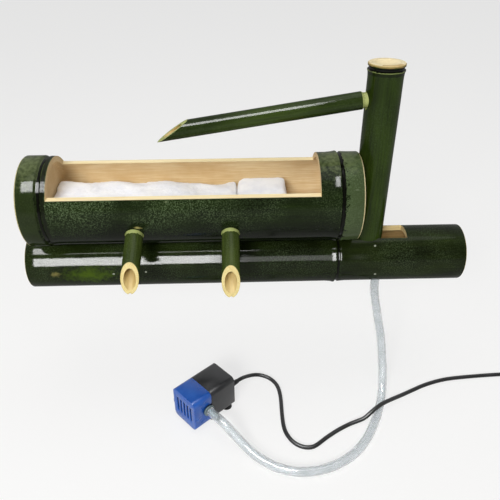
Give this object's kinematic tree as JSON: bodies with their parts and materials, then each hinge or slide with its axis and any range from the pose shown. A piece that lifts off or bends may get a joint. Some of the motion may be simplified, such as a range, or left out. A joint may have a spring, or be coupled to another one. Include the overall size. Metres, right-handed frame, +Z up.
{
  "type": "bamboo fountain",
  "caption": "Bamboo fountain for a water pot: base culm across the rim, windowed trough with filter floss and front spouts, riser with a long spout, submerged pump, hose and cable.",
  "frame": {"origin": "on the plane of the pot's rim, midway between the base culm's two rim seats and under its axis", "axes": "+X along the base culm towards the riser, -Y to the front where the two front spouts point, +Z up"},
  "size_m": [0.794, 0.2236, 0.4003],
  "materials": {
    "bamboo_base": "dark green bamboo rind with a thin coat of varnish, paler on cut faces",
    "bamboo_trough": "dark green mottled bamboo rind with varnish, pale cut faces, tan inside",
    "bamboo_riser": "dark green bamboo rind, cream inner wall in the top",
    "bamboo_spout": "green bamboo rind, pale cut mouth and whittled end",
    "screw_steel": "stainless steel",
    "floss": "white polyester filter floss",
    "hose": "clear, slightly clouded flexible hose",
    "bung": "black rubber",
    "pump_black": "black moulded plastic",
    "pump_blue": "blue moulded plastic",
    "pump_grey": "grey-green moulded plastic",
    "pump_iron": "stacked iron sheets",
    "pump_copper": "enamelled copper wire",
    "pump_resin": "cast resin",
    "pump_magnet": "ferrite",
    "pump_ceramic": "ceramic",
    "pump_wheel": "off-white moulded plastic",
    "cup_rubber": "black rubber",
    "cable_black": "black rubber-like sheath",
    "tie_black": "black plastic band",
    "plug_black": "black moulded plastic",
    "pin_metal": "plated brass"
  },
  "bodies": {
    "frame": {"base_culm": "bamboo_base", "trough_culm": "bamboo_trough", "trough_screws": "screw_steel", "front_spout_left": "bamboo_spout", "front_spout_right": "bamboo_spout", "hose_riser": "hose", "hose_free": "hose", "pump_housing": "pump_black", "pump_stator": "pump_iron", "pump_winding": "pump_copper", "pump_potting": "pump_resin", "pump_volute": "pump_black", "pump_nipple": "pump_grey", "pump_shaft": "pump_ceramic", "pump_bushes": "cup_rubber", "suction_cups": "cup_rubber", "cable_gland": "cable_black", "cable_run": "cable_black", "cable_coil": "cable_black", "cable_tie": "tie_black", "cable_tail": "cable_black", "plug_relief": "plug_black", "plug_body": "plug_black", "plug_pins": "pin_metal"},
    "riser": {"riser_culm": "bamboo_riser", "riser_bung": "bung"},
    "spout": {"upper_spout": "bamboo_spout"},
    "floss_long": {"floss_pad_long": "floss"},
    "floss_short": {"floss_pad_short": "floss"},
    "cover": {"pump_cover": "pump_blue"},
    "impeller": {"pump_rotor": "pump_magnet", "pump_impeller": "pump_wheel"}
  },
  "joints": [
    {"name": "riser_swivel", "type": "hinge", "parent": "frame", "child": "riser", "pos_m": [0.148, 0, 0.0305], "axis": [0, 0, 1], "range_deg": [-15, 15]},
    {"name": "spout_pull", "type": "slide", "parent": "riser", "child": "spout", "axis": [-0.9888, 0, -0.1495], "range_m": [0, 0.025]},
    {"name": "floss_long_lift", "type": "slide", "parent": "frame", "child": "floss_long", "axis": [0, -0.1219, 0.9925], "range_m": [0, 0.036]},
    {"name": "floss_short_lift", "type": "slide", "parent": "frame", "child": "floss_short", "axis": [0, -0.1219, 0.9925], "range_m": [0, 0.045]},
    {"name": "cover_pull", "type": "slide", "parent": "frame", "child": "cover", "axis": [-0.7431, -0.6691, 0], "range_m": [0, 0.03]},
    {"name": "impeller_spin", "type": "hinge", "parent": "frame", "child": "impeller", "pos_m": [-0.03976, -0.06957, -0.123], "axis": [0.7431, 0.6691, 0], "continuous": true}
  ]
}
